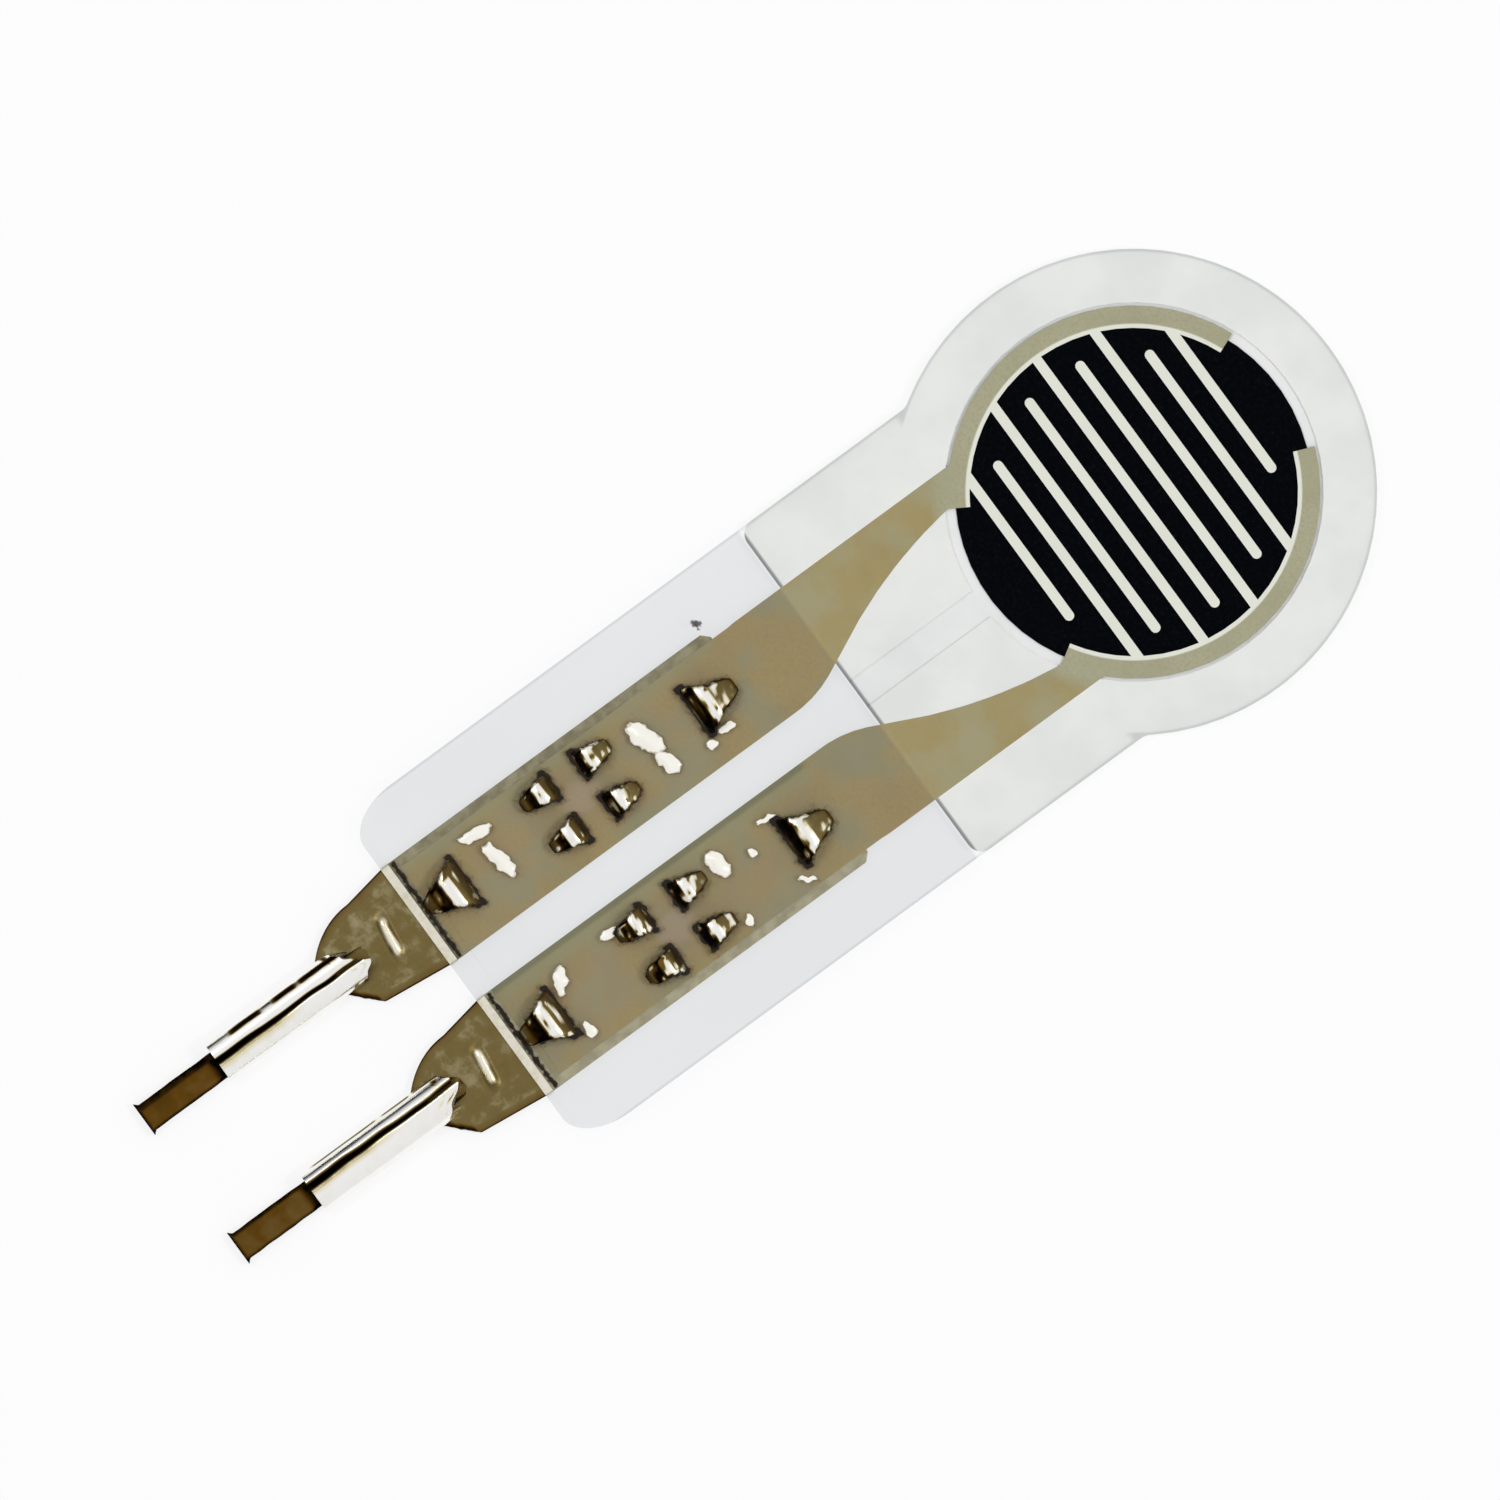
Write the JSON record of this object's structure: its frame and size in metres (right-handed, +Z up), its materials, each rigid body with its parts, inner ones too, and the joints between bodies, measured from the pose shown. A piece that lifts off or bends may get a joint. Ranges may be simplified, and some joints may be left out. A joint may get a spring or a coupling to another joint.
{
  "type": "force sensing resistor",
  "caption": "Round force sensing resistor: printed comb electrodes and carbon ink between thin films, with a short tail and pierced-on solder pins.",
  "frame": {"origin": "under the centre of the round sensing area, on the underside of the rear adhesive", "axes": "+Z up through the layers to the sensing face, +Y along the tail away from the solder pins, +X to the right of the sensor seen from above with the pins towards the viewer"},
  "size_m": [0.0076, 0.0221, 0.0006],
  "materials": {
    "rear_adhesive": "pale acrylic adhesive, slightly tacky matt",
    "milky_polyester_film": "thin translucent off-white polyester film",
    "carbon_ink": "screen-printed matt black carbon ink",
    "spacer_adhesive": "clear double-sided acrylic adhesive",
    "silver_ink": "screen-printed silver ink, olive-tan seen through the film",
    "clear_polyester_film": "clear glossy polyester film",
    "tinned_brass": "thin stamped brass strip, bright tin on the barrels, bare and browned at the ends"
  },
  "bodies": {
    "root": {"rear_adhesive": "rear_adhesive", "resistive_film": "milky_polyester_film", "resistive_carbon": "carbon_ink", "spacer_adhesive": "spacer_adhesive", "left_electrode": "silver_ink", "right_electrode": "silver_ink", "electrode_film": "clear_polyester_film", "left_pin": "tinned_brass", "right_pin": "tinned_brass"}
  },
  "joints": []
}
